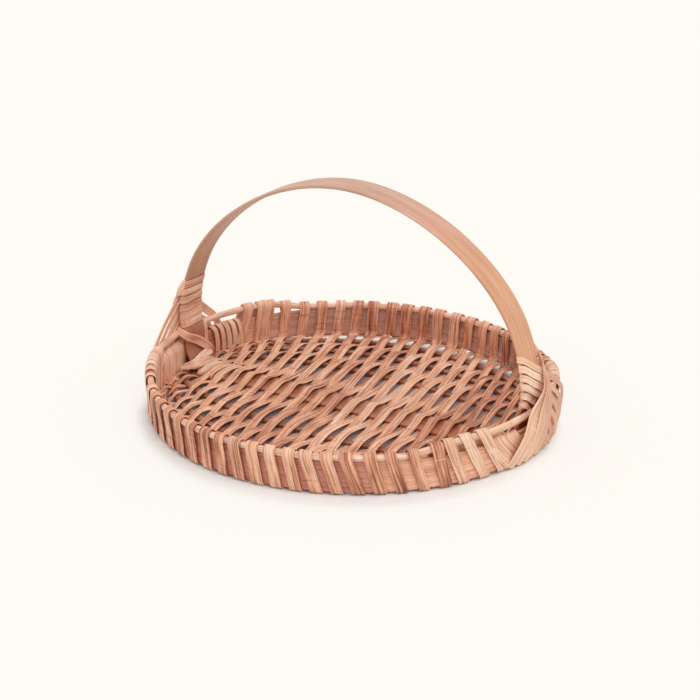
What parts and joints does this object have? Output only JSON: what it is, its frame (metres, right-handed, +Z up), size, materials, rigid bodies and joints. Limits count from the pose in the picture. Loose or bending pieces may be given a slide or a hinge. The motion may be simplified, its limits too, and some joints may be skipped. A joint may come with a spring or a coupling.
{
  "type": "winnowing basket",
  "caption": "Shallow round woven basket tray on a bent-wood rim, with a fixed bow handle from side to side whose hoop runs on under the floor.",
  "frame": {"origin": "on the surface that the basket stands on, under the middle of the tray and of the handle", "axes": "+Z up, +X along the handle from one foot to the other, +Y across the handle"},
  "size_m": [0.3632, 0.3488, 0.2053],
  "materials": {
    "bent_wood": "smooth bent wood strip, lightly oiled",
    "split_rod": "peeled split rod, dull",
    "rib_reed": "smoked reed, dull",
    "flat_reed": "split flat reed, dull and fibrous"
  },
  "bodies": {
    "root": {"rim_band": "bent_wood", "rim_rod_front": "split_rod", "rim_rod_back": "split_rod", "handle_hoop": "bent_wood", "rib_front_1": "rib_reed", "rib_back_1": "rib_reed", "rib_front_2": "rib_reed", "rib_back_2": "rib_reed", "rib_front_3": "rib_reed", "rib_back_3": "rib_reed", "weaver_1": "flat_reed", "weaver_2": "flat_reed", "weaver_3": "flat_reed", "weaver_4": "flat_reed", "weaver_5": "flat_reed", "weaver_6": "flat_reed", "weaver_7": "flat_reed", "weaver_8": "flat_reed", "ear_coil_right": "flat_reed", "ear_heel_right": "flat_reed", "ear_wraps_right": "flat_reed", "ear_stays_right": "flat_reed", "ear_coil_left": "flat_reed", "ear_heel_left": "flat_reed", "ear_wraps_left": "flat_reed", "ear_stays_left": "flat_reed"}
  },
  "joints": []
}
